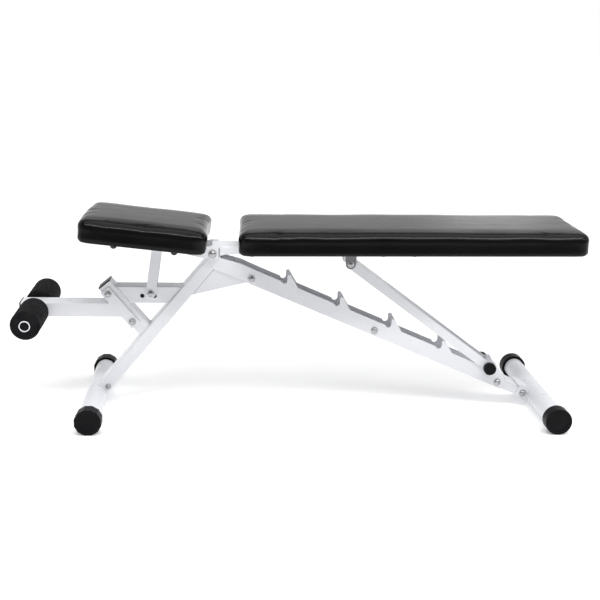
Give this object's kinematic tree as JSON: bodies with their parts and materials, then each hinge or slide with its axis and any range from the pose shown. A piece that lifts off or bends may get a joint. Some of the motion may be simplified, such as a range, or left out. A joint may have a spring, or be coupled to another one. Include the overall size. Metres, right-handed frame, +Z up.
{
  "type": "adjustable sit-up bench",
  "caption": "Decline sit-up bench with tilted seat pad, hinged backrest held by a strut in a toothed ladder, and foam foot rollers on a low arm.",
  "frame": {"origin": "on the floor, at the middle of the bench's length and width", "axes": "+X towards the head end of the backrest, +Y across the bench, +Z up"},
  "size_m": [1.3378, 0.416, 0.4873],
  "materials": {
    "white_paint": "gloss",
    "grey_paint": "satin",
    "black_plastic": "satin",
    "zinc": "satin",
    "foam": "matte",
    "black_steel": "satin",
    "backing": "matte",
    "black_vinyl": "semi gloss"
  },
  "bodies": {
    "frame": {"front_foot_tube": "white_paint", "rear_foot_tube": "white_paint", "main_leg": "white_paint", "front_foot_tab": "white_paint", "brace_tube": "white_paint", "post_rail": "white_paint", "arm_clamp": "white_paint", "roller_arm": "white_paint", "roller_axle": "white_paint", "rear_beam": "white_paint", "ladder_plates": "white_paint", "gusset_plates": "white_paint", "rear_saddle": "white_paint", "hinge_bush": "white_paint", "seat_tube": "white_paint", "seat_hinge_plates": "white_paint", "seat_post": "white_paint", "front_foot_caps": "black_plastic", "rear_foot_caps": "black_plastic", "brace_plug": "black_plastic", "arm_plug": "black_plastic", "axle_plugs": "black_plastic", "front_foot_bolt": "zinc", "arm_bolts": "zinc", "ladder_bolts": "zinc", "rear_foot_bolt": "zinc", "hinge_bolt": "zinc", "seat_post_bolt": "zinc", "seat_bolts": "black_steel", "seat_board": "backing", "seat_pad": "black_vinyl"},
    "backrest": {"backrest_tube": "white_paint", "backrest_board": "backing", "backrest_pad": "black_vinyl", "backrest_bolts": "black_steel", "strut_bracket": "grey_paint", "strut_pivot_bolt": "zinc"},
    "strut": {"strut": "white_paint", "strut_pin": "zinc", "pin_washers": "white_paint", "pin_caps": "black_plastic"},
    "roller_near": {"foam_roller_near": "foam"},
    "roller_far": {"foam_roller_far": "foam"}
  },
  "joints": [
    {"name": "backrest_hinge", "type": "hinge", "parent": "frame", "child": "backrest", "pos_m": [-0.217, 0, 0.391], "axis": [0, -1, 0], "range_deg": [0, 66.9]},
    {"name": "strut_swing", "type": "hinge", "parent": "backrest", "child": "strut", "pos_m": [0.1126, 0, 0.3683], "axis": [0, -1, 0], "range_deg": [-95, 0.5]},
    {"name": "roller_near_spin", "type": "hinge", "parent": "frame", "child": "roller_near", "pos_m": [-0.637, -0.09, 0.247], "axis": [0, 1, 0], "continuous": true},
    {"name": "roller_far_spin", "type": "hinge", "parent": "frame", "child": "roller_far", "pos_m": [-0.637, 0.09, 0.247], "axis": [0, 1, 0], "continuous": true}
  ],
  "couplings": [
    {"joint": "strut_swing", "follows": "backrest_hinge", "ratio": -1.4}
  ]
}
